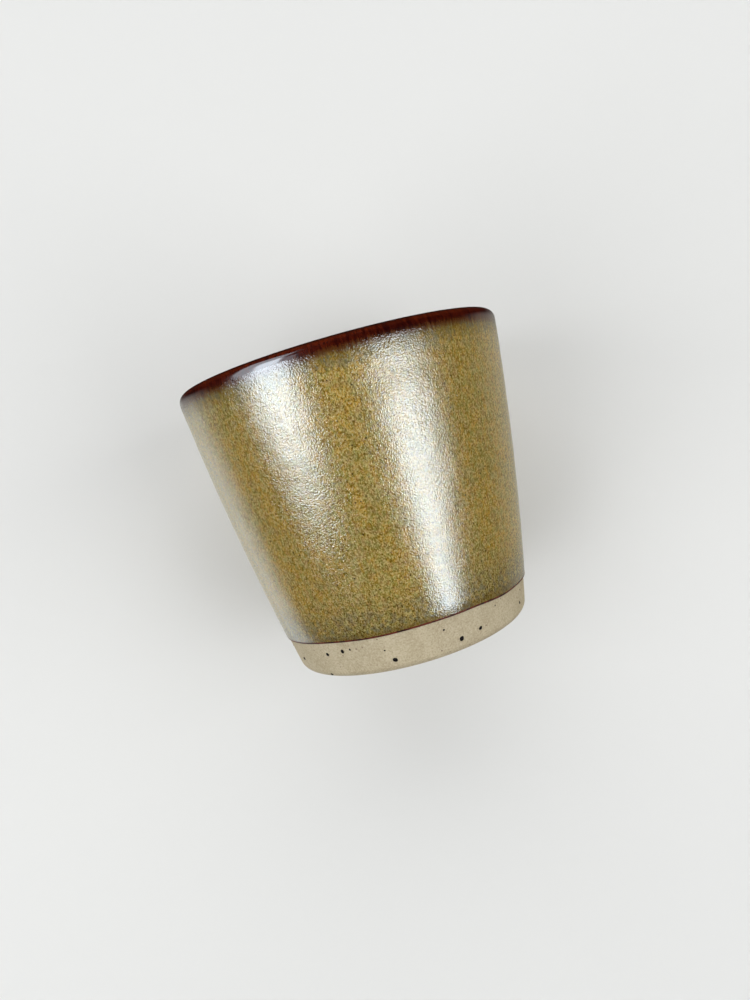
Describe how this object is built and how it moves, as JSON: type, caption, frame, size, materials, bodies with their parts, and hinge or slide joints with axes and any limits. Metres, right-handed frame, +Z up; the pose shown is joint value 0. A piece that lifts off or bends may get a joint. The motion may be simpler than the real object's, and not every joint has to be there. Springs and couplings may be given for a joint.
{
  "type": "yunomi tea cup",
  "caption": "Handleless tapered tea cup in stoneware, with speckled glaze, a brown lip and a bare clay foot, for holding hot tea.",
  "frame": {"origin": "on the table plane, at the centre of the standing ring", "axes": "+Z up along the cup's axis of revolution; -Y is the side that the picture shows"},
  "size_m": [0.088, 0.088, 0.08],
  "materials": {
    "bare_stoneware": "matte",
    "speckled_glaze": "gloss",
    "liner_glaze": "gloss",
    "brown_glaze": "gloss",
    "dark_glaze": "gloss",
    "iron_spot": "satin"
  },
  "bodies": {
    "root": {"stoneware_body": "bare_stoneware", "outer_glaze": "speckled_glaze", "inner_glaze": "liner_glaze", "rim_glaze": "brown_glaze", "glaze_edge": "dark_glaze", "iron_grains": "iron_spot"}
  },
  "joints": []
}
